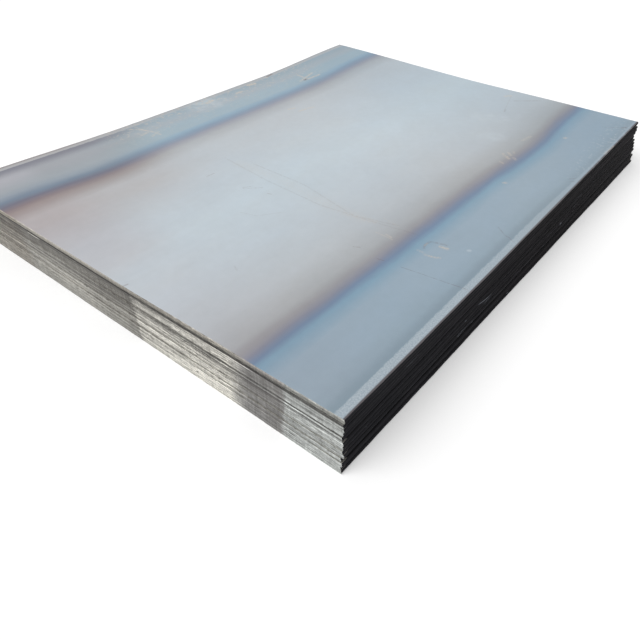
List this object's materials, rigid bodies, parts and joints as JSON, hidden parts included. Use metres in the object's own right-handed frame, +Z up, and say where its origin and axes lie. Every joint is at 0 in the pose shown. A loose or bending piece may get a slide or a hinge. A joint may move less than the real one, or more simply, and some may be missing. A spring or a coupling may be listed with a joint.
{
  "type": "stack of steel plates",
  "caption": "Stack of hot-rolled steel plates with bright sheared ends, rounded black mill edges and blue heat-tint bands, the upper plates curled up a little at their ends.",
  "frame": {"origin": "on the floor, under the middle of the stack", "axes": "+X along the rolling direction, towards the end where the lower plates fan out; +Y across the plates' width; +Z up"},
  "size_m": [2.0177, 1.5304, 0.1626],
  "materials": {
    "rolled_steel": "hot-rolled mill scale with blue heat tint along the mill edges and bright sheared ends"
  },
  "bodies": {
    "root": {"plate_01": "rolled_steel", "plate_02": "rolled_steel", "plate_03": "rolled_steel", "plate_04": "rolled_steel", "plate_05": "rolled_steel", "plate_06": "rolled_steel", "plate_07": "rolled_steel", "plate_08": "rolled_steel", "plate_09": "rolled_steel", "plate_10": "rolled_steel", "plate_11": "rolled_steel", "plate_12": "rolled_steel", "plate_13": "rolled_steel"}
  },
  "joints": []
}
